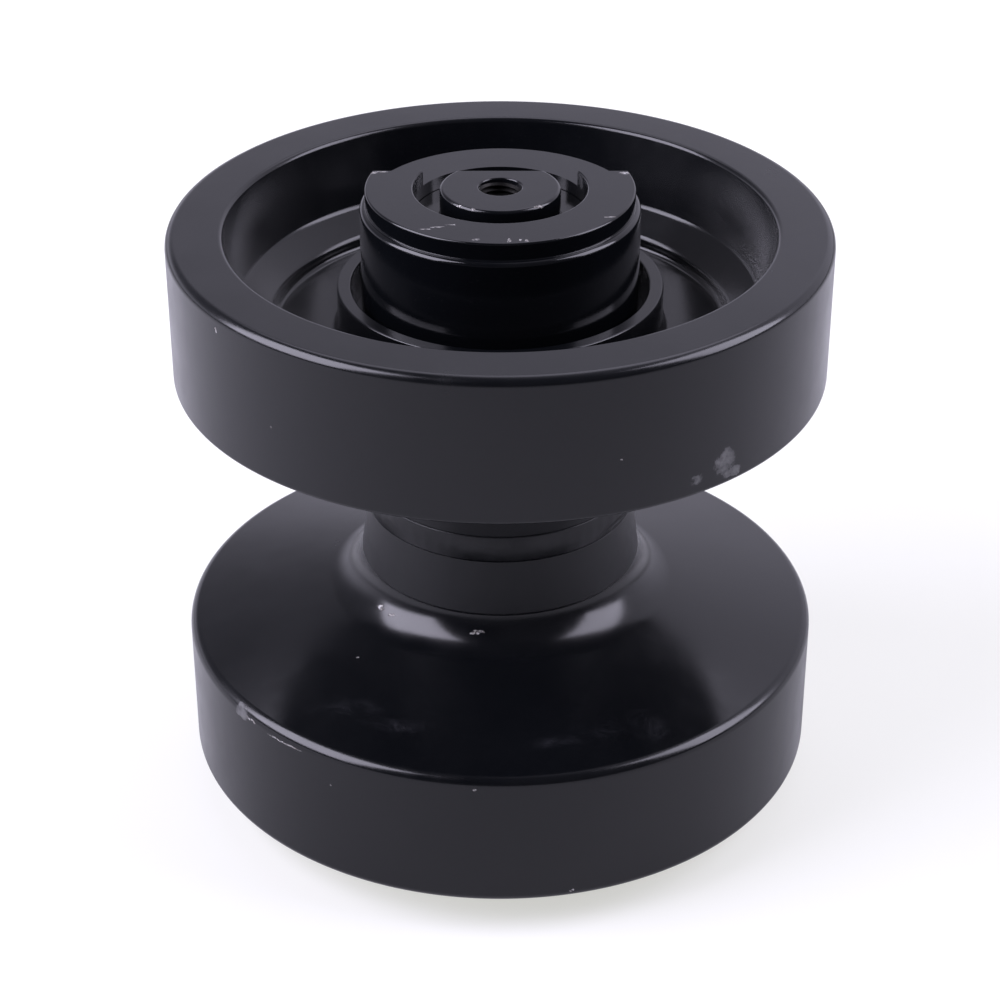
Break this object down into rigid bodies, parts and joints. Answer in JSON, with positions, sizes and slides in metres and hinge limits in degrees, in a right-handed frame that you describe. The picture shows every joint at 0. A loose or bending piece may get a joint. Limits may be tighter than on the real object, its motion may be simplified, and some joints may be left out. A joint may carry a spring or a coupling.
{
  "type": "track idler",
  "caption": "Double-rimmed undercarriage idler wheel that turns on a sealed shaft, with D-cut collars and a tapped hole at each shaft end for bolting between brackets.",
  "frame": {"origin": "middle of the wheel on the shaft's axis, halfway between the two ends", "axes": "+Z along the shaft to the end seen in the picture, +Y the side that the end flats face"},
  "size_m": [0.25, 0.25, 0.252],
  "materials": {
    "black_paint": "satin-gloss black paint over forged and turned steel",
    "shaft_black_paint": "satin-gloss black paint over turned steel",
    "plug_steel": "dull zinc-plated steel",
    "bush_bronze": "bronze-lined bush, machined",
    "seal_iron": "hard cast iron with a lapped sealing band",
    "seal_rubber": "smooth moulded rubber",
    "pin_steel": "dark ground steel"
  },
  "bodies": {
    "root": {"shaft": "shaft_black_paint", "oil_plug": "plug_steel", "upper_collar": "black_paint", "upper_collar_pin": "pin_steel", "upper_shaft_o_ring": "seal_rubber", "upper_collar_seal_ring": "seal_iron", "upper_collar_toric": "seal_rubber", "lower_collar": "black_paint", "lower_collar_pin": "pin_steel", "lower_shaft_o_ring": "seal_rubber", "lower_collar_seal_ring": "seal_iron", "lower_collar_toric": "seal_rubber"},
    "wheel": {"upper_wheel_half": "black_paint", "lower_wheel_half": "black_paint", "centre_weld_bead": "black_paint", "upper_bush": "bush_bronze", "upper_hub_seal_ring": "seal_iron", "upper_hub_toric": "seal_rubber", "lower_bush": "bush_bronze", "lower_hub_seal_ring": "seal_iron", "lower_hub_toric": "seal_rubber"}
  },
  "joints": [
    {"name": "wheel_spin", "type": "hinge", "parent": "root", "child": "wheel", "pos_m": [0, 0, 0], "axis": [0, 0, 1], "continuous": true}
  ]
}
